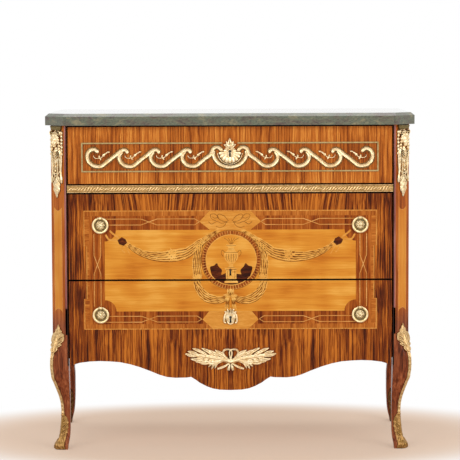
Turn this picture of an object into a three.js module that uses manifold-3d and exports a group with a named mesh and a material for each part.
// A commode chest in the Gustavian manner: a stone slab on a veneered case with canted front
// corners, three drawers, cabriole legs and cast brass mounts.
// Millimetres, +Z up. The chest faces -Y and its origin is on the floor under the middle of the slab.
import * as THREE from "three";
import { mergeVertices } from "three/addons/utils/BufferGeometryUtils.js";
import Module from "manifold-3d";

const wasm = await Module();
wasm.setup();

// Driving dimensions
const topWidth = 880;
const topDepth = 436;
const overallHeight = 805;

// Stone slab
const slabThickness = 28;
const slabFrontOverhang = 16;
const slabSideOverhang = 13;
const slabBackOverhang = 4;
const slabCant = 46;
const slabBevelWidth = 9;
const slabBevelHeight = 7;
const slabBreak = 4;
const slabBreakWidth = 7;

// Case
const stileWidth = 40;
const cantSize = 34;
const cantCrown = 0.3;
const stileEase = 1.2;
const rearStileWidth = 20;
const rearStileDepth = 32;
const sidePanelThickness = 19;
const sidePanelInset = 1;
const backPanelThickness = 10;
const backPanelInset = 2;
const boardThickness = 12;
const subTopThickness = 14;
const railHeight = 17.5;
const railDepth = 46;
const lowerBoardThickness = 14;
const guideHeight = 22;
const boardSetback = 21;

// Clearances
const glueGap = 0.3;
const reveal = 3.2;
const sideReveal = 3;
const runningGap = 1.5;
const headroom = 8;
const overrun = 5;
const weldDistance = 0.001;

// Drawers
const topFrontShare = 0.21422;
const middleFrontShare = 0.32227;
const frontThickness = 20;
const drawerBackRoom = 13.7;
const drawerSideThickness = 10;
const drawerBackThickness = 10;
const drawerBottomThickness = 6;
const grooveDepth = 5;
const grooveRise = 8;
const backLowering = 6;
const tailLength = 14;
const tailPitch = 36;
const tailWidth = 22;
const tailFlare = 2.5;
const sideSetIn = 0.5;

// Legs
const cabrioleHeight = 278;
const kneeSwell = 4.5;
const legTuck = 22;
const innerShift = 1;
const heelShift = 5;
const legCant = 6;
const rearKneeSwell = 4;
const rearLegTuck = 13;
const rearInnerShift = 6;
const rearHeelShift = 5;
const rearBackTuck = 7;
const rearLegCant = 5;
const crownShare = 0.25;

// Apron of the lowest drawer and of the sides, from the top of the cabriole down
const apronArchDrop = 63;
const apronDepth = 71;
const sideApronDrop = 76;
const sideArchRise = 14;

// Brass on the corners
const kneeMountRise = 24;
const kneeMountDrop = 38;
const kneeLeafReach = 25;
const kneeLeafThick = 5.5;
const stripReach = 5;
const stripThick = 3.4;
const jacketBite = 3;
const sabotTopZ = 84;
const sabotReach = 21;
const rearSabotReach = 16;
const sabotThickness = 4.6;
const cornerMountHeight = 172;
const cornerMountWidth = 42;
const cornerMountRise = 15;
const capHeight = 12;
const capRise = 12;
const headHeight = 36;
const sideStripWidth = 4.5;
const sideStripRise = 4;
const sideStripDrop = 136;

// Brass on the fronts
const mouldingProud = 2.5;
const mouldingThickness = 6;
const mouldingBevel = 2;
const friezeFrameInset = 32;
const friezeFrameDropShare = 0.27655;
const friezeFrameHeightShare = 0.51622;
const friezeFrameBar = 3.2;
const friezeFrameRise = 2.4;
const ribbonWidth = 9.4;
const ribbonRise = 6;
const wavePitchShare = 0.21165;
const firstWaveShare = 0.25;
const waveHeightShare = 0.5672;
const waveFloorShare = 0.1857;
const waveCount = 4;
const cradleHalfShare = 0.5275;
const cradleDip = 1.7;
const cradleHeightShare = 0.5529;
const curlKnobRadius = 4.6;
const sprigRise = 3;
const sprigWidth = 3;
const shellWidth = 56;
const shellDropShare = 0.2857;
const shellTopShare = 0.1857;
const shellSinkShare = 0.0714;
const shellRibs = 12;
const shellRise = 8;
const shellCrestShare = 0.4286;
const shellCrestWidth = 28;
const ovalWidth = 33;
const ovalHeight = 39;
const ovalRise = 4;
const ovalLift = 7;
const apronMountShare = 0.28125;
const apronMountDrop = 3;
const apronMountBand = 26;
const apronLeafShare = 0.074;
const apronRibbonShare = 0.0417;
const leafWidth = 8;
const leafRise = 3.6;

// Pulls
const pullInset = 75.5;
const middlePullShare = 0.3652;
const bottomPullShare = 0.30977;
const ringRadius = 17.2;
const ringTube = 2.7;
const ringPinRadius = 1.5;
const ringPinSpan = 12;
const ringStandoff = 0.6;
const plateRadius = 16.4;
const plateThickness = 1.6;
const bossRadius = 10.6;
const bossRise = 8;
const lugRadius = 3.2;
const lugLength = 7;
const pinClearance = 0.4;

// Locks
const keyholeRadius = 3.4;
const keyholeHeight = 17;
const keyholeSlot = 4.8;
const topKeyShare = 0.472;
const middleKeyRise = 17;
const bottomKeyShare = 0.35348;
const lockWidth = 50;
const lockTail = 14;
const lockDepth = 11;
const keyWellDepth = 4;
const boltWidth = 12;
const boltThickness = 4;
const boltThrow = 6;
const boltStandoff = 2;
const boltClearance = 0.4;

// Places worked out from the sizes above
const halfTop = topWidth / 2;
const halfCase = halfTop - slabSideOverhang;
const frontY = -topDepth / 2 + slabFrontOverhang;
const backY = topDepth / 2 - slabBackOverhang;
const mountY = frontY - glueGap;
const caseTopZ = overallHeight - slabThickness;
const stileInnerX = halfCase - stileWidth;
const stileBackY = frontY + stileWidth + glueGap;
const frontHalf = stileInnerX - sideReveal;
const boxHalf = frontHalf - sideSetIn;
const panelInnerX = halfCase - sidePanelInset - sidePanelThickness;
const boardHalf = Math.min(panelInnerX, halfCase - rearStileWidth) - glueGap;
const boardFrontY = frontY + boardSetback;
const boardBackY = backY - backPanelInset - backPanelThickness - glueGap;
const drawerBackY = boardBackY - drawerBackRoom;

const apronArchZ = cabrioleHeight - apronArchDrop;
const apronCentreZ = apronArchZ - apronDepth;
const sideApronZ = cabrioleHeight - sideApronDrop;
const frontsHeight = caseTopZ - apronCentreZ;
const topFrontHeight = frontsHeight * topFrontShare;
const middleFrontHeight = frontsHeight * middleFrontShare;
const topFront = { top: caseTopZ - reveal, bottom: caseTopZ - reveal - topFrontHeight };
const rail = { top: topFront.bottom - reveal, bottom: topFront.bottom - reveal - railHeight };
const middleFront = { top: rail.bottom - reveal, bottom: rail.bottom - reveal - middleFrontHeight };
const bottomFront = { top: middleFront.bottom - reveal, bottom: apronCentreZ };
const bottomFrontHeight = bottomFront.top - bottomFront.bottom;
const subTop = { top: caseTopZ - glueGap, bottom: caseTopZ - glueGap - subTopThickness };
const lowerBoardTop = middleFront.bottom - reveal / 2;
const lowerBoard = { top: lowerBoardTop, bottom: lowerBoardTop - lowerBoardThickness };
const bottomBoard = { top: apronArchZ + reveal + boardThickness, bottom: apronArchZ + reveal };

const kneeMountTopZ = cabrioleHeight + kneeMountRise;
const kneeMountLowZ = cabrioleHeight - kneeMountDrop;
const friezeHalf = frontHalf - friezeFrameInset;
const friezeTop = topFront.top - topFrontHeight * friezeFrameDropShare;
const friezeHeight = topFrontHeight * friezeFrameHeightShare;
const scrollZ = friezeTop - friezeHeight * (1 - waveFloorShare);
const waveHeight = friezeHeight * waveHeightShare;
const wavePitch = friezeHalf * wavePitchShare;
const firstWaveX = friezeHalf * firstWaveShare;
const cradleHalfWidth = wavePitch * cradleHalfShare;
const cradleHeight = friezeHeight * cradleHeightShare;
const shellDrop = friezeHeight * shellDropShare;
const shellTop = friezeHeight * shellTopShare;
const shellSink = friezeHeight * shellSinkShare;
const shellCrestHeight = friezeHeight * shellCrestShare;
const apronMountHalf = frontHalf * apronMountShare;
const apronMountZ = apronArchZ - apronMountDrop;
const apronLeafWidth = apronMountHalf * apronLeafShare;
const apronRibbonWidth = apronMountHalf * apronRibbonShare;
const ringOffset = plateThickness + ringTube + ringStandoff;
const boreRadius = ringPinRadius + pinClearance;

const lockY = [frontY + frontThickness + glueGap, frontY + frontThickness + glueGap + lockDepth];
const boltY = lockY[0] + keyWellDepth + boltClearance;
const boltRoom = {
  x: [-boltWidth / 2 - boltClearance, boltWidth / 2 + boltClearance],
  y: [boltY - boltClearance, boltY + boltThickness + boltClearance],
};
const mortiseDepth = boltThrow - boltStandoff + boltClearance;

// Materials
const paint = (color, roughness, metalness = 0) =>
  new THREE.MeshStandardMaterial({ color, roughness, metalness });
const stone = paint("#75756a", 0.45);
const veneer = paint("#a5602a", 0.35);
const legWood = paint("#7d4526", 0.35);
const carcass = paint("#b98f5e", 0.7);
const drawerWood = paint("#c49a66", 0.7);
const gilt = paint("#cdb077", 0.35, 0.9);
const steel = paint("#77736a", 0.4, 0.9);

const chest = new THREE.Group();
chest.name = "commode_chest";

/** Adds one named piece, from a geometry or a manifold solid. */
function add(name, shape, material) {
  const geometry = shape.isBufferGeometry ? shape : toGeometry(shape);
  const mesh = new THREE.Mesh(geometry, material);
  mesh.name = name;
  chest.add(mesh);
  return mesh;
}

/** Adds a piece of the right-hand side and its mirror image on the left. */
function addPair(name, shape, material) {
  add(`${name}_right`, shape, material);
  add(`${name}_left`, mirrored(shape), material);
}

/** The mirror image of a geometry or solid across the middle of the chest. */
function mirrored(shape) {
  const solid = shape.isBufferGeometry ? toSolid(shape) : shape;
  return facingOut(toGeometry(solid).scale(-1, 1, 1));
}

/** A closed geometry as a manifold solid, with its shared vertices merged. */
function toSolid(geometry) {
  const source = geometry.index ? geometry.toNonIndexed() : geometry;
  const bare = new THREE.BufferGeometry();
  bare.setAttribute("position", source.getAttribute("position").clone());
  const merged = mergeVertices(bare, weldDistance);
  const triangles = [];
  for (let k = 0; k < merged.index.count; k += 3) {
    const [a, b, c] = [0, 1, 2].map((n) => merged.index.getX(k + n));
    if (a !== b && b !== c && c !== a) triangles.push(a, b, c);
  }
  return new wasm.Manifold(
    new wasm.Mesh({
      numProp: 3,
      vertProperties: merged.attributes.position.array,
      triVerts: new Uint32Array(triangles),
    }),
  );
}

/** A manifold solid as a geometry. */
function toGeometry(solid) {
  const mesh = solid.getMesh();
  const geometry = new THREE.BufferGeometry();
  geometry.setAttribute("position", new THREE.BufferAttribute(mesh.vertProperties, 3));
  geometry.setIndex(new THREE.BufferAttribute(mesh.triVerts, 1));
  geometry.computeVertexNormals();
  return geometry;
}

/** Several geometries or solids joined into one solid. */
function join(shapes) {
  return shapes.map((shape) => (shape.isBufferGeometry ? toSolid(shape) : shape)).reduce((a, b) => a.add(b));
}

/** A solid with the given geometries or solids cut out of it. */
function cut(shape, tools) {
  const solid = shape.isBufferGeometry ? toSolid(shape) : shape;
  return tools
    .map((tool) => (tool.isBufferGeometry ? toSolid(tool) : tool))
    .reduce((rest, tool) => rest.subtract(tool), solid);
}

/** A board between two limits on each axis. */
function board([x0, x1], [y0, y1], [z0, z1]) {
  return new THREE.BoxGeometry(x1 - x0, y1 - y0, z1 - z0).translate(
    (x0 + x1) / 2,
    (y0 + y1) / 2,
    (z0 + z1) / 2,
  );
}

/** A plan outline of [x, y] points raised between two heights. */
function raise(points, [z0, z1]) {
  const shape = new THREE.Shape(points.map(([x, y]) => new THREE.Vector2(x, y)));
  return new THREE.ExtrudeGeometry(shape, { depth: z1 - z0, bevelEnabled: false }).translate(0, 0, z0);
}

/** A front outline, a Shape in x and z, given a thickness from y0 back to y1. */
function thicken(shape, [y0, y1], curveSegments = 8) {
  return new THREE.ExtrudeGeometry(shape, { depth: y1 - y0, bevelEnabled: false, curveSegments })
    .rotateX(Math.PI / 2)
    .translate(0, y1, 0);
}

/** A side outline of [y, z] points given a thickness from x0 to x1. */
function widen(points, [x0, x1]) {
  const shape = new THREE.Shape(points.map(([y, z]) => new THREE.Vector2(y, z)));
  return new THREE.ExtrudeGeometry(shape, { depth: x1 - x0, bevelEnabled: false })
    .rotateX(Math.PI / 2)
    .rotateZ(Math.PI / 2)
    .translate(x0, 0, 0);
}

/** A solid skin over rings of points, each ring with as many points, closed by a cap at each end. */
function loft(rings) {
  const count = rings[0].length;
  const index = [];
  for (let r = 0; r + 1 < rings.length; r++) {
    for (let i = 0; i < count; i++) {
      const a = r * count + i;
      const b = r * count + ((i + 1) % count);
      index.push(a, b, b + count, a, b + count, a + count);
    }
  }
  index.push(...cap(rings[0]).flatMap(([a, b, c]) => [c, b, a]));
  const last = (rings.length - 1) * count;
  index.push(...cap(rings.at(-1)).flatMap((triangle) => triangle.map((i) => i + last)));
  return fromArrays(
    rings.flat().flatMap((p) => [p.x, p.y, p.z]),
    index,
  );
}

/** The triangles that close a ring, turned the way that the ring runs. */
function cap(ring) {
  const normal = new THREE.Vector3();
  ring.forEach((p, i) => {
    normal.add(new THREE.Vector3().crossVectors(p, ring[(i + 1) % ring.length]));
  });
  const flat = new THREE.Quaternion().setFromUnitVectors(normal.normalize(), new THREE.Vector3(0, 0, 1));
  const contour = ring.map((p) => {
    const q = p.clone().applyQuaternion(flat);
    return new THREE.Vector2(q.x, q.y);
  });
  return THREE.ShapeUtils.triangulateShape(contour, []);
}

/** A closed geometry from flat lists of coordinates and corners. */
function fromArrays(positions, index) {
  const geometry = new THREE.BufferGeometry();
  geometry.setAttribute("position", new THREE.Float32BufferAttribute(positions, 3));
  geometry.setIndex(index);
  return facingOut(geometry);
}

/** The geometry, with its faces turned outwards if they pointed in. */
function facingOut(geometry) {
  const p = geometry.getAttribute("position");
  const i = geometry.index.array;
  const at = (k) => new THREE.Vector3().fromBufferAttribute(p, i[k]);
  let volume = 0;
  for (let k = 0; k < i.length; k += 3) {
    volume += at(k).cross(at(k + 1)).dot(at(k + 2));
  }
  if (volume < 0) {
    for (let k = 0; k < i.length; k += 3) {
      [i[k], i[k + 1]] = [i[k + 1], i[k]];
    }
  }
  return geometry;
}

/** A value read from rows of [place, value...], with straight lines between the rows. */
function between(rows, place, column) {
  const k = Math.max(1, rows.findIndex((row) => row[0] >= place));
  const [low, high] = [rows[k - 1], rows[k]];
  const share = THREE.MathUtils.clamp((place - low[0]) / (high[0] - low[0]), 0, 1);
  return THREE.MathUtils.lerp(low[column], high[column], share);
}

// Half-round section of a cast ribbon and three-sided section of a leaf, as shares of half its width
// and of its rise.
const ribbonSectionShares = [
  [-1, 0],
  [-0.75, 0.72],
  [0, 1],
  [0.75, 0.72],
  [1, 0],
];
const leafSectionShares = [
  [-1, 0],
  [-0.5, 0.75],
  [0.15, 1],
  [1, 0],
];

/**
 * A casting that lies on the front along [x, z] points: a ribbon, or a leaf that narrows by the
 * widthShares at even stations.
 */
function trail(points, { width, rise, steps, section = ribbonSectionShares, widthShares = [1, 1] }) {
  const curve = new THREE.SplineCurve(points.map(([x, z]) => new THREE.Vector2(x, z)));
  const rings = [];
  for (let s = 0; s <= steps; s++) {
    const centre = curve.getPointAt(s / steps);
    const along = curve.getTangentAt(s / steps);
    const place = (s / steps) * (widthShares.length - 1);
    const k = Math.min(Math.floor(place), widthShares.length - 2);
    const share = THREE.MathUtils.lerp(widthShares[k], widthShares[k + 1], place - k);
    const half = (width / 2) * share;
    const lift = rise * Math.sqrt(Math.min(1, share));
    rings.push(
      section.map(
        ([across, up]) =>
          new THREE.Vector3(
            centre.x - along.y * half * across,
            mountY - lift * up,
            centre.y + along.x * half * across,
          ),
      ),
    );
  }
  return loft(rings);
}

/** A round knob that stands on the front. */
function knob([x, z], radius, rise) {
  const dome = new THREE.SphereGeometry(radius, 9, 4).scale(1, rise / radius, 1).translate(x, mountY, z);
  const front = board([x - topWidth, x + topWidth], [mountY - topDepth, mountY], [0, overallHeight]);
  return toSolid(dome).intersect(toSolid(front));
}

/**
 * A flat-backed relief on the front round a centre. reach(angle) is its outline and lift(share, angle)
 * its height at a share of the way out.
 */
function relief([x, z], { reach, lift, spokes, hoops }) {
  const positions = [x, mountY - lift(0, 0), z];
  const point = (angle, share) => {
    const r = reach(angle) * share;
    return [x + r * Math.cos(angle), mountY - lift(share, angle), z + r * Math.sin(angle)];
  };
  const angles = Array.from({ length: spokes }, (_, s) => (s / spokes) * Math.PI * 2);
  for (let h = 1; h <= hoops; h++) {
    angles.forEach((angle) => positions.push(...point(angle, h / hoops)));
  }
  angles.forEach((angle) => {
    positions.push(x + reach(angle) * Math.cos(angle), mountY, z + reach(angle) * Math.sin(angle));
  });
  positions.push(x, mountY, z);
  const index = [];
  const back = positions.length / 3 - 1;
  for (let s = 0; s < spokes; s++) {
    const next = (s + 1) % spokes;
    index.push(0, 1 + s, 1 + next);
    for (let h = 0; h < hoops; h++) {
      const a = 1 + h * spokes;
      index.push(a + s, a + spokes + s, a + spokes + next, a + s, a + spokes + next, a + next);
    }
    index.push(back, 1 + hoops * spokes + next, 1 + hoops * spokes + s);
  }
  return fromArrays(positions, index);
}

/** A keyhole between two depths: a round eye with a slot below it. */
function keyhole(z, [y0, y1]) {
  const eye = new THREE.CylinderGeometry(keyholeRadius, keyholeRadius, y1 - y0, 14).translate(
    0,
    (y0 + y1) / 2,
    z + keyholeHeight / 2 - keyholeRadius,
  );
  const slot = board(
    [-keyholeSlot / 2, keyholeSlot / 2],
    [y0, y1],
    [z - keyholeHeight / 2, z + keyholeHeight / 2 - keyholeRadius],
  );
  return join([eye, slot]);
}

// Legs. Each row is a share of the cabriole's height, then the shares of the knee's swell, the tuck,
// the inner shift, the heel shift and the cant that the leg has there.
const legShares = [
  [0, 0, 0.32, 0.3, 1, 0.15],
  [0.03, 0, 0.3, 0.35, 0.85, 0.15],
  [0.07, 0, 0.55, 0.5, 0.45, 0.1],
  [0.115, 0, 0.82, 0.65, 0.15, 0.05],
  [0.18, 0, 0.95, 0.8, 0, 0],
  [0.25, 0, 1, 0.95, 0, 0],
  [0.32, 0, 1, 1, 0, 0],
  [0.385, 0, 0.955, 1, 0, 0],
  [0.45, 0, 0.8, 1, 0, 0],
  [0.51, 0, 0.55, 0.8, 0, 0.04],
  [0.575, 0, 0.25, 0.65, 0, 0.08],
  [0.64, 0.2, 0, 0.5, 0, 0.12],
  [0.69, 0.68, 0, 0.4, 0, 0.16],
  [0.74, 0.96, 0, 0.2, 0, 0.2],
  [0.79, 1, 0, 0, 0, 0.24],
  [0.84, 0.75, 0, 0, 0, 0.35],
  [0.89, 0.33, 0, 0, 0, 0.54],
  [0.945, 0.08, 0, 0, 0, 0.8],
  [1, 0, 0, 0, 0, 1],
];
const legHeights = legShares.map((row) => row[0] * cabrioleHeight);

// Along x and y: the swell, the tuck, the width, the inner shift and the heel shift of each kind of leg.
const frontLeg = {
  outerY: frontY,
  swell: [kneeSwell, kneeSwell],
  tuck: [legTuck, legTuck],
  width: [stileWidth, stileWidth],
  shift: [innerShift, innerShift],
  heel: [heelShift, heelShift],
  cant: [legCant, cantSize],
};
const rearLeg = {
  outerY: backY - rearStileDepth,
  swell: [rearKneeSwell, 0],
  tuck: [rearLegTuck, rearBackTuck],
  width: [rearStileWidth, rearStileDepth],
  shift: [rearInnerShift, 0],
  heel: [rearHeelShift, 0],
  cant: [rearLegCant, stileEase],
};

/** The section of a leg at a height: its outer and inner faces, grown by a margin, and its cant. */
function legSection(leg, z, grow = 0) {
  const place = THREE.MathUtils.clamp(z / cabrioleHeight, 0, 1);
  const [swell, tuck, shift, heel, cant] = [1, 2, 3, 4, 5].map((column) => between(legShares, place, column));
  const out = [0, 1].map((axis) => leg.swell[axis] * swell - leg.tuck[axis] * tuck + grow);
  const inward = [0, 1].map(
    (axis) => leg.width[axis] + leg.shift[axis] * shift - leg.heel[axis] * heel + grow,
  );
  return {
    outX: halfCase + out[0],
    outY: leg.outerY - out[1],
    inX: halfCase - inward[0],
    inY: leg.outerY + inward[1],
    cant: THREE.MathUtils.lerp(leg.cant[0], leg.cant[1], cant),
    crown: cantCrown + legCant * crownShare * (1 - cant),
  };
}

/** The outline of a leg's section at a height, on the +x side. */
function legRing(leg, z, grow = 0) {
  const { outX, outY, inX, inY, cant, crown } = legSection(leg, z, grow);
  return [
    [inX + stileEase, inY],
    [outX - stileEase, inY],
    [outX, inY - stileEase],
    [outX, outY + cant],
    [outX - cant / 2 + crown, outY + cant / 2 - crown],
    [outX - cant, outY],
    [inX + stileEase, outY],
    [inX, outY + stileEase],
    [inX, inY - stileEase],
  ].map(([x, y]) => new THREE.Vector3(x, y, z));
}

/** A leg with the stile above it, on the +x side. */
function legSolid(leg) {
  return loft([...legHeights, subTop.top].map((z) => legRing(leg, z)));
}

/** The room that a leg takes up, with a margin all round and past both ends. */
function legRoom(leg) {
  const heights = [-overrun, ...legHeights, caseTopZ + overrun];
  return loft(heights.map((z) => legRing(leg, z, glueGap)));
}

/**
 * A point on the skin of a leg's corner, at a distance round from the middle of the cant, and lifted off it.
 * Positive distances run along the side and negative ones along the front.
 */
function cornerPoint({ outX, outY, cant, crown }, z, distance, lift) {
  const middle = new THREE.Vector2(cant / 2 - crown, cant / 2 - crown);
  const edge = new THREE.Vector2(cant, 0);
  const half = middle.distanceTo(edge);
  const share = Math.min(1, Math.abs(distance) / half);
  const past = Math.max(0, Math.abs(distance) - half);
  const diagonal = new THREE.Vector2(-1, -1).normalize();
  const normal = diagonal.lerp(new THREE.Vector2(0, -1), share).normalize();
  const p = middle.lerp(edge, share).add(new THREE.Vector2(past, 0)).addScaledVector(normal, lift);
  const [inX, inY] = distance > 0 ? [p.y, p.x] : [p.x, p.y];
  return new THREE.Vector3(outX - inX, outY + inY, z);
}

// Section of a casting round a corner: its reach and its thickness as shares.
const jacketSectionShares = [
  [-1, 0.3],
  [-0.62, 0.85],
  [0, 1],
  [0.62, 0.85],
  [1, 0.3],
];

/** A brass casting round the outer corner of a leg, from rows of [height, reach, thickness]. */
function jacket(leg, rows) {
  const rings = rows.map(([z, reach, thickness]) => {
    const section = legSection(leg, z);
    const outer = jacketSectionShares.map(([round, thick]) =>
      cornerPoint(section, z, reach * round, thickness * thick),
    );
    const inner = [1, 0, -1].map((round) => cornerPoint(section, z, reach * round, -jacketBite));
    return [...outer, ...inner];
  });
  return cut(loft(rings), [legRoom(leg)]);
}

/** Rows of a casting from a table of shares of its height, reach and thickness. */
function scaleRows(shares, [z0, z1], reach, thickness) {
  return shares.map(([up, out, thick]) => [THREE.MathUtils.lerp(z0, z1, up), reach * out, thickness * thick]);
}

/** The slab's outline at a bevel's inset: canted front corners, each with a small break beside it. */
function slabRing(inset, z) {
  const mitre = inset * Math.tan(Math.PI / 8);
  const front = -topDepth / 2;
  const cantX = halfTop - slabCant;
  const half = [
    [cantX - slabBreakWidth - inset, front + inset],
    [cantX - slabBreakWidth - inset, front + slabBreak + inset],
    [cantX - mitre, front + slabBreak + inset],
    [halfTop - inset, front + slabBreak + slabCant + mitre],
    [halfTop - inset, topDepth / 2],
  ];
  const other = half.map(([x, y]) => [-x, y]).reverse();
  return [...half, ...other].map(([x, y]) => new THREE.Vector3(x, y, z));
}

function makeSlab() {
  const bevelZ = overallHeight - slabBevelHeight;
  add(
    "marble_top",
    loft([slabRing(0, caseTopZ), slabRing(0, bevelZ), slabRing(slabBevelWidth, overallHeight)]),
    stone,
  );
}

/** A board's plan outline, notched round the front stiles. */
function notchedPlan(y0, y1) {
  const neck = stileInnerX - glueGap;
  const half = [
    [neck, y0],
    [neck, stileBackY],
    [boardHalf, stileBackY],
    [boardHalf, y1],
  ];
  return [...half, ...half.map(([x, y]) => [-x, y]).reverse()];
}

/** A mortise in a board for a bolt, from a height inwards. */
function mortise(z, depth) {
  const { x, y } = boltRoom;
  return board(x, y, [Math.min(z, z + depth), Math.max(z, z + depth)]);
}

/** The top board, with the two cleats that guide the top drawer hanging from its sides. */
function makeTopBoard() {
  const plan = raise(notchedPlan(boardFrontY, boardBackY), [subTop.bottom, subTop.top]);
  const cleats = [-1, 1].map((side) => {
    const [inner, outer] = [side * (boxHalf + runningGap), side * boardHalf];
    const x = [Math.min(inner, outer), Math.max(inner, outer)];
    return board(x, [stileBackY, boardBackY], [subTop.bottom - guideHeight, subTop.top]);
  });
  const bolt = mortise(subTop.bottom - glueGap, mortiseDepth + glueGap);
  add("top_board", cut(join([plan, ...cleats]), [bolt]), carcass);
}

/** The dust board under the top drawer, with a deep front rail that carries the brass moulding. */
function makeUpperDustBoard() {
  const y0 = frontY + mouldingThickness - mouldingProud + glueGap;
  const front = raise(notchedPlan(y0, y0 + railDepth), [rail.bottom, rail.top]);
  const back = raise(notchedPlan(y0 + railDepth / 2, boardBackY), [rail.top - boardThickness, rail.top]);
  add("dust_board_upper", join([front, back]), carcass);
}

/** The dust board between the two lower drawers, with mortises for both their bolts. */
function makeMiddleDustBoard() {
  const plan = raise(notchedPlan(boardFrontY, boardBackY), [lowerBoard.bottom, lowerBoard.top]);
  const room = mortiseDepth + glueGap;
  const mortises = [mortise(lowerBoard.top + glueGap, -room), mortise(lowerBoard.bottom - glueGap, room)];
  add("dust_board_middle", cut(plan, mortises), carcass);
}

function makeBottomBoard() {
  add(
    "bottom_board",
    raise(notchedPlan(boardFrontY, boardBackY), [bottomBoard.bottom, bottomBoard.top]),
    carcass,
  );
}

/** Guide strips that lie on a board on either side of a drawer. */
function makeGuides(name, z) {
  const strip = board(
    [boxHalf + runningGap, boardHalf],
    [stileBackY, boardBackY],
    [z + glueGap, z + glueGap + guideHeight],
  );
  addPair(`guide_${name}`, strip, carcass);
}

// Lower edge of a side panel: shares of its length from the front, and of the rise of its arch.
const sideArchShares = [
  [0.06, 0.42],
  [0.14, 0.76],
  [0.24, 0.95],
  [0.36, 1],
  [0.44, 0.86],
  [0.5, 0.3],
];

/** The side panels, flush between the stiles, with an arched lower edge on either side of a drop. */
function makeSidePanels() {
  const y0 = stileBackY;
  const y1 = backY - rearStileDepth - glueGap;
  const [x0, x1] = [panelInnerX, halfCase - sidePanelInset];
  const arch = sideArchShares.map(([along, up]) => [
    THREE.MathUtils.lerp(y0, y1, along),
    sideApronZ + sideArchRise * up,
  ]);
  const other = arch.map(([y, z]) => [y0 + y1 - y, z]).reverse();
  const ends = [y0, y1].map((y) => [
    [y, subTop.top],
    [y, sideApronZ],
  ]);
  const outline = [...ends[0], ...arch, ...other.slice(1), ...ends[1].reverse()];
  addPair("side_panel", widen(outline, [x0, x1]), veneer);
}

function makeBackPanel() {
  const half = halfCase - rearStileWidth - glueGap;
  const y1 = backY - backPanelInset;
  const panel = board([-half, half], [y1 - backPanelThickness, y1], [bottomBoard.bottom, subTop.top]);
  add("back_panel", panel, carcass);
}

function makeLegs() {
  addPair("front_leg", legSolid(frontLeg), legWood);
  addPair("rear_leg", legSolid(rearLeg), legWood);
}

// Acanthus leaf on the knee and the sabot: shares of the height, the reach and the thickness.
const kneeLeafShares = [
  [1, 0.05, 0.25],
  [0.87, 0.22, 0.55],
  [0.72, 0.45, 0.85],
  [0.6, 0.72, 1],
  [0.5, 0.97, 1],
  [0.4, 1, 0.95],
  [0.28, 0.68, 0.9],
  [0.14, 0.36, 0.75],
];
const sabotShares = [
  [1, 0.22, 0.7],
  [0.93, 0.34, 0.95],
  [0.84, 0.62, 1.15],
  [0.7, 0.7, 1.1],
  [0.5, 0.68, 1],
  [0.38, 0.56, 0.9],
  [0.28, 0.58, 0.9],
  [0.19, 0.8, 1],
  [0.09, 1, 1.1],
  [0, 0.95, 1],
];

/** Each knee mount is one casting: a leaf over the cant and a strip that trails down the corner. */
function makeKneeMounts() {
  const leaf = scaleRows(kneeLeafShares, [kneeMountLowZ, kneeMountTopZ], kneeLeafReach, kneeLeafThick);
  const strip = legHeights
    .filter((z) => z > sabotTopZ + overrun && z < kneeMountLowZ)
    .reverse()
    .map((z) => [z, stripReach, stripThick]);
  const ends = [kneeMountLowZ, sabotTopZ + glueGap].map((z) => [z, stripReach, stripThick]);
  addPair("knee_mount", jacket(frontLeg, [...leaf, ends[0], ...strip, ends[1]]), gilt);
}

function makeSabots() {
  const front = scaleRows(sabotShares, [0, sabotTopZ], sabotReach, sabotThickness);
  const rear = scaleRows(sabotShares, [0, sabotTopZ], rearSabotReach, sabotThickness);
  addPair("sabot_front", jacket(frontLeg, front), gilt);
  addPair("sabot_rear", jacket(rearLeg, rear), gilt);
}

// Term figure of a corner mount, from the cap down: shares of the mount's height, of its half-width and
// of its rise, through the head, the neck, the bust, the sheath and the pendant leaf.
const termShares = [
  [0.02, 0.42, 0.55],
  [0.08, 0.58, 0.88],
  [0.14, 0.6, 0.98],
  [0.2, 0.5, 0.95],
  [0.245, 0.28, 0.62],
  [0.28, 0.6, 0.72],
  [0.34, 0.7, 0.88],
  [0.42, 0.5, 0.7],
  [0.53, 0.34, 0.52],
  [0.63, 0.24, 0.42],
  [0.69, 0.26, 0.4],
  [0.75, 0.44, 0.46],
  [0.83, 0.4, 0.42],
  [0.92, 0.22, 0.3],
  [1, 0.05, 0.12],
];
const termSectionShares = [
  [-1, 0],
  [-0.88, 0.45],
  [-0.55, 0.82],
  [0, 1],
  [0.55, 0.82],
  [0.88, 0.45],
  [1, 0],
];

/** A corner mount on the cant: a cap, a draped term under it, and a strip down either side. */
function cornerMount() {
  const half = cornerMountWidth / 2;
  const term = loft(
    termShares.map(([down, wide, out]) =>
      termSectionShares.map(
        ([across, up]) =>
          new THREE.Vector3(half * wide * across, -cornerMountRise * out * up, -cornerMountHeight * down),
      ),
    ),
  );
  const capHalf = half - capRise / 2;
  const capPlan = [
    [-half, 0],
    [-capHalf, -capRise],
    [capHalf, -capRise],
    [half, 0],
  ];
  const strips = [-1, 1].map((side) => {
    const edges = [side * half, side * (half - sideStripWidth)];
    const x = [Math.min(...edges), Math.max(...edges)];
    return board(x, [-sideStripRise, 0], [-sideStripDrop, -capHeight / 2]);
  });
  const braceDrop = capHeight + headHeight;
  const brace = board([-half, half], [-sideStripRise, 0], [-braceDrop - sideStripWidth, -braceDrop]);
  const solid = join([term, raise(capPlan, [-capHeight, 0]), ...strips, brace]);
  const off = halfCase - cantSize / 2 + cantCrown + glueGap;
  return toGeometry(solid)
    .rotateZ(Math.PI / 4)
    .translate(off, frontY + cantSize / 2 - cantCrown - glueGap, caseTopZ - glueGap);
}

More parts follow.
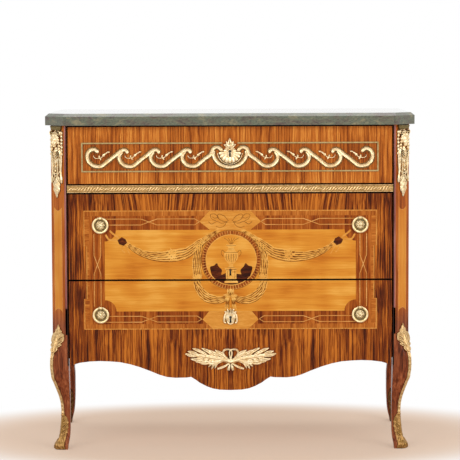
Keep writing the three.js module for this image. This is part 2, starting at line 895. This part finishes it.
/** The outline of a drawer side, with the tails that enter the front. */
function sideOutline([y0, y1], [z0, z1], gap = 0) {
  const count = Math.max(2, Math.round((z1 - z0) / tailPitch));
  const pitch = (z1 - z0) / count;
  const points = [[y1, z0]];
  for (let k = 0; k < count; k++) {
    const centre = z0 + pitch * (k + 1 / 2);
    const root = tailWidth / 2 - tailFlare + gap;
    const tip = tailWidth / 2 + gap;
    if (k === 0) points.push([y0, z0]);
    points.push([y0, centre - root], [y0 - tailLength - gap, centre - tip]);
    points.push([y0 - tailLength - gap, centre + tip], [y0, centre + root]);
  }
  points.push([y0, z1], [y1, z1]);
  return points;
}

/**
 * One drawer: a front, two dovetailed sides, a back, and a bottom that slides in grooves.
 * frontSolid is the shaped front, and z the limits of the box behind it.
 */
function makeDrawer(name, frontSolid, [z0, z1], lock) {
  const boxY0 = frontY + frontThickness;
  const [innerX, outerX] = [boxHalf - drawerSideThickness, boxHalf];
  const groove = [z0 + grooveRise, z0 + grooveRise + drawerBottomThickness];
  const panel = {
    x: innerX + grooveDepth,
    y: [boxY0 - grooveDepth, drawerBackY],
  };
  const grooveRoom = board(
    [-panel.x - glueGap, panel.x + glueGap],
    [panel.y[0] - glueGap, panel.y[1] + overrun],
    [groove[0] - glueGap, groove[1] + glueGap],
  );
  const sideStart = boxY0 + glueGap;
  const side = widen(sideOutline([sideStart, drawerBackY], [z0, z1]), [innerX, outerX]);
  const socket = widen(sideOutline([sideStart, drawerBackY], [z0, z1], glueGap), [
    innerX - glueGap,
    outerX + glueGap,
  ]);
  const keyway = keyhole(lock.keyZ, [frontY - overrun, boxY0 + overrun]);
  const frontRoom = [grooveRoom, socket, mirrored(socket), keyway];
  add(`drawer_${name}_front`, cut(frontSolid, frontRoom), veneer);
  addPair(`drawer_${name}_side`, cut(side, [grooveRoom]), drawerWood);
  const backZ = [groove[1] + glueGap, z1 - backLowering];
  add(
    `drawer_${name}_back`,
    board([-innerX + glueGap, innerX - glueGap], [drawerBackY - drawerBackThickness, drawerBackY], backZ),
    drawerWood,
  );
  const lockNotch = board(
    [-lockWidth / 2 - glueGap, lockWidth / 2 + glueGap],
    [boxY0 - overrun - grooveDepth, lockY[1] + glueGap],
    [lock.z[0] - glueGap, lock.z[1] + glueGap],
  );
  add(
    `drawer_${name}_bottom`,
    cut(board([-panel.x, panel.x], panel.y, groove), [lockNotch]),
    drawerWood,
  );
}

/** A lock behind a keyhole, with its case reaching to within a standoff of the board that it locks to. */
function lockAt(keyZ, boardZ) {
  const way = Math.sign(boardZ - keyZ);
  const near = boardZ - way * boltStandoff;
  const far = keyZ - way * lockTail;
  return { keyZ, way, z: [Math.min(near, far), Math.max(near, far)], near };
}

/** The case of a lock, open along the bolt's channel and in front of it for the key. */
function makeLock(name, lock) {
  const box = board([-lockWidth / 2, lockWidth / 2], lockY, lock.z);
  const channel = board(boltRoom.x, boltRoom.y, [lock.z[0] - overrun, lock.z[1] + overrun]);
  const well = keyhole(lock.keyZ, [lockY[0] - overrun, boltY]);
  add(`lock_case_${name}`, cut(box, [channel, well]), steel);
  const tail = lock.keyZ - lock.way * (lockTail - boltThrow);
  const ends = [lock.near - lock.way * boltClearance, tail];
  const bolt = board(
    [-boltWidth / 2, boltWidth / 2],
    [boltY, boltY + boltThickness],
    [Math.min(...ends), Math.max(...ends)],
  );
  add(`lock_bolt_${name}`, bolt, steel);
}

// Lower edge of the apron on the +x side: shares of the half-width, and of the height between the
// bottom of the drop and the top of the arch.
const apronShares = [
  [0, 0],
  [0.068, 0.014],
  [0.112, 0.056],
  [0.148, 0.127],
  [0.193, 0.254],
  [0.221, 0.366],
  [0.247, 0.451],
  [0.273, 0.43],
  [0.346, 0.423],
  [0.396, 0.451],
  [0.44, 0.521],
  [0.503, 0.662],
  [0.565, 0.789],
  [0.625, 0.887],
  [0.6875, 0.958],
  [0.75, 0.986],
  [0.8125, 1],
  [0.875, 0.986],
  [0.9375, 0.944],
  [0.97, 0.89],
  [1, 0.8],
];

/** The lowest front, with the shaped apron as its lower edge. */
function apronFront() {
  const rise = apronArchZ - apronCentreZ;
  const edge = apronShares.map(([out, up]) => [out * frontHalf, apronCentreZ + rise * up]);
  const shape = new THREE.Shape();
  shape.moveTo(frontHalf, bottomFront.top);
  shape.lineTo(-frontHalf, bottomFront.top);
  [...edge].reverse().forEach(([x, z]) => shape.lineTo(-x, z));
  edge.slice(1).forEach(([x, z]) => shape.lineTo(x, z));
  return thicken(shape, [frontY, frontY + frontThickness]);
}

function plainFront({ top, bottom }) {
  return board([-frontHalf, frontHalf], [frontY, frontY + frontThickness], [bottom, top]);
}

const topLock = lockAt(topFront.top - topFrontHeight * topKeyShare, subTop.bottom);
const middleLock = lockAt(middleFront.bottom + middleKeyRise, lowerBoard.top);
const bottomLock = lockAt(bottomFront.top - bottomFrontHeight * bottomKeyShare, lowerBoard.bottom);

function makeDrawers() {
  const topBox = [rail.top + glueGap, subTop.bottom - headroom];
  const middleBox = [lowerBoard.top + glueGap, rail.bottom - headroom];
  const bottomBox = [bottomBoard.top + glueGap, lowerBoard.bottom - headroom];
  makeDrawer("top", plainFront(topFront), topBox, topLock);
  makeDrawer("middle", plainFront(middleFront), middleBox, middleLock);
  makeDrawer("bottom", apronFront(), bottomBox, bottomLock);
  makeLock("top", topLock);
  makeLock("middle", middleLock);
  makeLock("bottom", bottomLock);
}

/** The brass moulding across the rail, with its front arrises bevelled. */
function makeRailMoulding() {
  const y0 = frontY - mouldingProud;
  const y1 = y0 + mouldingThickness;
  const profile = [
    [y1, rail.bottom],
    [y0 + mouldingBevel, rail.bottom],
    [y0, rail.bottom + mouldingBevel],
    [y0, rail.top - mouldingBevel],
    [y0 + mouldingBevel, rail.top],
    [y1, rail.top],
  ];
  const half = stileInnerX - glueGap;
  add("rail_moulding", widen(profile, [-half, half]), gilt);
}

// The turned boss: shares of its radius and of its rise.
const bossShares = [0.3, 0.75, 0.55, 0.4];

/** The plate of a pull, turned with a rosette, with the bored lug that carries the ring. */
function pullPlate(x, z) {
  const profile = [
    [0, 0],
    [plateRadius, 0],
    [plateRadius, plateThickness / 2],
    [plateRadius - plateThickness / 2, plateThickness],
    [bossRadius + plateThickness / 2, plateThickness],
    [bossRadius, plateThickness + bossRise * bossShares[0]],
    [bossRadius * bossShares[1], plateThickness + bossRise * bossShares[1]],
    [bossRadius * bossShares[2], bossRise * bossShares[1]],
    [bossRadius * bossShares[3], bossRise],
    [0, bossRise],
  ].map(([r, h]) => new THREE.Vector2(r, h));
  const disc = new THREE.LatheGeometry(profile, 20).rotateX(Math.PI).translate(x, mountY, z);
  const pinY = mountY - ringOffset;
  const lugZ = z + ringRadius;
  const barrel = new THREE.CylinderGeometry(lugRadius, lugRadius, lugLength, 12)
    .rotateZ(Math.PI / 2)
    .translate(x, pinY, lugZ);
  const foot = board(
    [x - lugLength / 2, x + lugLength / 2],
    [pinY, mountY],
    [lugZ - lugRadius, lugZ + lugRadius],
  );
  const bore = new THREE.CylinderGeometry(boreRadius, boreRadius, lugLength + overrun, 12)
    .rotateZ(Math.PI / 2)
    .translate(x, pinY, lugZ);
  return cut(join([disc, barrel, foot]), [bore]);
}

/** A pull's ring, drawn thin at the top where it turns in the lug. */
function pullRing(x, z) {
  const pinY = mountY - ringOffset;
  const hoop = new THREE.TorusGeometry(ringRadius, ringTube, 7, 24)
    .rotateX(Math.PI / 2)
    .translate(x, pinY, z);
  const top = z + ringRadius;
  const half = ringPinSpan / 2;
  const gap = board(
    [x - half, x + half],
    [pinY - 2 * ringTube, pinY + 2 * ringTube],
    [z, top + 2 * ringTube],
  );
  const pin = new THREE.CylinderGeometry(ringPinRadius, ringPinRadius, ringPinSpan + ringTube, 8)
    .rotateZ(Math.PI / 2)
    .translate(x, pinY, top);
  return join([cut(hoop, [gap]), pin]);
}

function makePulls() {
  const rows = [
    ["middle", middleFront.top - middleFrontHeight * middlePullShare],
    ["bottom", bottomFront.top - bottomFrontHeight * bottomPullShare],
  ];
  rows.forEach(([row, z]) => {
    addPair(`pull_plate_${row}`, pullPlate(frontHalf - pullInset, z), gilt);
    addPair(`pull_ring_${row}`, pullRing(frontHalf - pullInset, z), gilt);
  });
}

// One wave of the running scroll: shares of the pitch and of the height, from under one crest, down the
// round of the wave, up to the next crest and over it.
const waveShares = [
  [-0.25, 0.88],
  [-0.31, 0.73],
  [-0.34, 0.54],
  [-0.32, 0.37],
  [-0.26, 0.21],
  [-0.16, 0.06],
  [0, 0],
  [0.13, 0.06],
  [0.25, 0.24],
  [0.4, 0.47],
  [0.56, 0.7],
  [0.68, 0.88],
  [0.76, 0.97],
  [0.84, 1],
  [0.9, 0.92],
  [0.92, 0.83],
];
// The crest of the wave next to the shell, which rises higher and curls down to the shell.
const innerCrestShares = [
  [0.65, 1.05],
  [0.77, 1.15],
  [0.86, 1.07],
  [0.91, 0.96],
];
// The free curl that starts the outermost wave.
const outerCurlShares = [
  [-0.02, 0.89],
  [-0.11, 1.03],
  [-0.2, 1.03],
  [-0.31, 0.89],
  [-0.355, 0.62],
  [-0.31, 0.3],
];
const sprigShares = [
  [-0.31, 0.66],
  [-0.18, 0.6],
  [-0.08, 0.5],
  [0.07, 0.53],
  [0.19, 0.7],
  [0.34, 0.89],
];
// The cradle under the shell: shares of its half-width and height, from the bottom out and up.
const cradleShares = [
  [0, 0],
  [0.35, 0.06],
  [0.68, 0.23],
  [0.92, 0.52],
  [1, 0.81],
  [0.97, 1],
];

/** Points along the half of the scroll on one side, from a table of shares of a wave whose bottom is at x. */
function wavePoints(shares, x, side) {
  return shares.map(([along, up]) => [side * (wavePitch * along - x), scrollZ + waveHeight * up]);
}

/** The running scroll, all one casting: on either side, waves roll out from the cradle under the shell. */
function friezeScroll(grow = 0) {
  const ribbon = { width: ribbonWidth + 2 * grow, rise: ribbonRise + grow };
  const curl = (point) => knob(point, curlKnobRadius + grow, ribbonRise + grow);
  const sprig = {
    width: sprigWidth,
    rise: sprigRise,
    section: leafSectionShares,
    steps: 4,
    widthShares: [0.8, 1.3, 1, 1.6, 0.4],
  };
  const wavePath = (k) => {
    if (k === 0) return [...waveShares.slice(0, -5), ...innerCrestShares];
    return k === waveCount - 1 ? [...outerCurlShares, ...waveShares.slice(4)] : waveShares;
  };
  const pieces = [1, -1].flatMap((side) => {
    const waves = Array.from({ length: waveCount }, (_, k) => {
      const x = firstWaveX + wavePitch * k;
      const path = wavePoints(wavePath(k), x, side);
      const outermost = k === waveCount - 1;
      return [
        trail(path, { ...ribbon, steps: outermost ? 16 : 11 }),
        curl(path.at(-1)),
        ...(outermost ? [curl(path[0])] : []),
        trail(wavePoints(sprigShares, x, side), sprig),
      ];
    });
    const cradle = cradleShares.map(([out, up]) => [
      side * cradleHalfWidth * out,
      scrollZ - cradleDip + cradleHeight * up,
    ]);
    return [...waves.flat(), trail(cradle, { ...ribbon, steps: 8 })];
  });
  return join(pieces);
}

/** The distance from the middle of an oval to its rim. */
function ovalReach(angle, halfWidth, halfHeight) {
  return 1 / Math.hypot(Math.cos(angle) / halfWidth, Math.sin(angle) / halfHeight);
}

// The shell's fan: how far its rim is dished, and how deep its ribs are, as shares of its rise.
const shellDishShare = 0.45;
const shellRibShare = 0.13;
const crestSpreadShare = 0.45;
const crestDropShare = 0.5;

/** The shell escutcheon: a ribbed fan, a leafy crest over it and the keyhole between them. */
function shellEscutcheon() {
  const fan = relief([0, topLock.keyZ - shellSink], {
    reach: (angle) => ovalReach(angle, shellWidth / 2, Math.sin(angle) > 0 ? shellTop : shellDrop),
    lift: (share, angle) =>
      shellRise *
      (1 - shellDishShare * share ** 2) *
      (1 + shellRibShare * share * Math.cos(angle * shellRibs)),
    spokes: 2 * shellRibs,
    hoops: 3,
  });
  const crestZ = topLock.keyZ + keyholeHeight / 2;
  const leaves = [-1, -0.5, 0, 0.5, 1].map((turn) =>
    trail(
      [
        [0, crestZ - shellSink],
        [
          shellCrestWidth * crestSpreadShare * turn,
          crestZ + (shellCrestHeight / 3) * (1 - Math.abs(turn) / 2),
        ],
        [(shellCrestWidth / 2) * turn, crestZ + shellCrestHeight * (1 - crestDropShare * Math.abs(turn))],
      ],
      {
        width: leafWidth,
        rise: shellRise,
        steps: 5,
        section: leafSectionShares,
        widthShares: [0.8, 1.3, 1, 0.15],
      },
    ),
  );
  const key = keyhole(topLock.keyZ, [mountY - shellRise * 2, mountY + overrun]);
  return cut(join([fan, ...leaves]), [friezeScroll(glueGap), key]);
}

/** The frame round the frieze, broken where the shell's crest crosses its upper bar. */
function friezeFrame() {
  const bottom = friezeTop - friezeHeight;
  const rectangle = (path, inset) =>
    path
      .moveTo(-friezeHalf + inset, bottom + inset)
      .lineTo(friezeHalf - inset, bottom + inset)
      .lineTo(friezeHalf - inset, friezeTop - inset)
      .lineTo(-friezeHalf + inset, friezeTop - inset);
  const shape = new THREE.Shape();
  rectangle(shape, 0);
  const hole = new THREE.Path();
  rectangle(hole, friezeFrameBar);
  shape.holes.push(hole);
  const frame = thicken(shape, [mountY - friezeFrameRise, mountY]);
  const reach = shellCrestWidth / 2 + leafWidth / 2;
  const crestRoom = board(
    [-reach, reach],
    [mountY - overrun, mountY + overrun],
    [friezeTop - overrun, friezeTop + overrun],
  );
  return cut(frame, [crestRoom]);
}

const ovalRimShare = 0.82;
const ovalDishShare = 0.6;

/** The oval escutcheon of the lowest drawer, with a raised rim. */
function ovalEscutcheon() {
  const plate = relief([0, bottomLock.keyZ + ovalLift], {
    reach: (angle) => ovalReach(angle, ovalWidth / 2, ovalHeight / 2),
    lift: (share) => ovalRise * (Math.abs(share - ovalRimShare) < 1 - ovalRimShare ? 1 : ovalDishShare),
    spokes: 24,
    hoops: 5,
  });
  return cut(plate, [keyhole(bottomLock.keyZ, [mountY - ovalRise * 2, mountY + overrun])]);
}

// One half of the laurel spray on the apron, as shares of its half-width and of its band: the stem, then
// the root and tip of each leaf above and below it, and the loop of the bow.
const stemShares = [
  [0, 0],
  [0.2, 0.23],
  [0.46, 0.42],
  [0.74, 0.6],
  [1, 0.72],
];
const leafTipShares = [
  [0.06, 0.12, 0.35, 1.1],
  [0.23, 0.27, 0.54, 1.12],
  [0.35, 0.38, 0.64, 1.26],
  [0.46, 0.46, 0.75, 1.07],
  [0.54, 0.5, 0.85, 1.25],
  [0.67, 0.58, 0.95, 1],
  [0.57, 0.46, 0.89, 0.29],
  [0.46, 0.38, 0.81, 0.08],
  [0.33, 0.35, 0.7, -0.09],
  [0.2, 0.27, 0.56, -0.05],
  [0.02, -0.04, 0.48, -0.55],
  [0.02, -0.06, 0.36, -0.66],
];
const bowShares = [
  [0.01, 0.05],
  [0.09, 0.32],
  [0.17, 0.64],
  [0.18, 0.92],
  [0.13, 1.13],
  [0.06, 1.16],
  [0.03, 1],
  [0.02, 0.5],
];

const leafBowShare = 0.38;

/** The spray of leaves on the apron, tied with a bow. */
function apronMount() {
  const place = (shares, side) =>
    shares.map(([out, up]) => [side * apronMountHalf * out, apronMountZ + apronMountBand * up]);
  const size = { width: apronLeafWidth, rise: leafRise };
  const stem = { ...size, steps: 8, widthShares: [0.7, 1.1, 1.2, 0.2] };
  const leaf = { ...size, steps: 3, section: leafSectionShares, widthShares: [0.4, 1.1, 1.1, 0.15] };
  const bow = { ...size, width: apronRibbonWidth, steps: 7, section: leafSectionShares };
  const pieces = [1, -1].flatMap((side) => [
    trail(place(stemShares, side), stem),
    ...leafTipShares.map(([x0, z0, x1, z1]) => {
      const middle = [(x0 + x1) / 2, z0 + (z1 - z0) * leafBowShare];
      return trail(place([[x0, z0], middle, [x1, z1]], side), leaf);
    }),
    trail(place(bowShares, side), bow),
  ]);
  return join([...pieces, knob([0, apronMountZ], apronLeafWidth / 2, leafRise)]);
}

/** The brass on the fronts. */
function makeFrontBrass() {
  add("frieze_frame", friezeFrame(), gilt);
  add("frieze_scroll", friezeScroll(), gilt);
  add("shell_escutcheon", shellEscutcheon(), gilt);
  add("oval_escutcheon", ovalEscutcheon(), gilt);
  add("apron_mount", apronMount(), gilt);
}

makeSlab();
makeTopBoard();
makeUpperDustBoard();
makeMiddleDustBoard();
makeBottomBoard();
makeGuides("middle", lowerBoard.top);
makeGuides("bottom", bottomBoard.top);
makeSidePanels();
makeBackPanel();
makeLegs();
makeKneeMounts();
makeSabots();
addPair("corner_mount", cornerMount(), gilt);
makeDrawers();
makeRailMoulding();
makePulls();
makeFrontBrass();

export default chest;
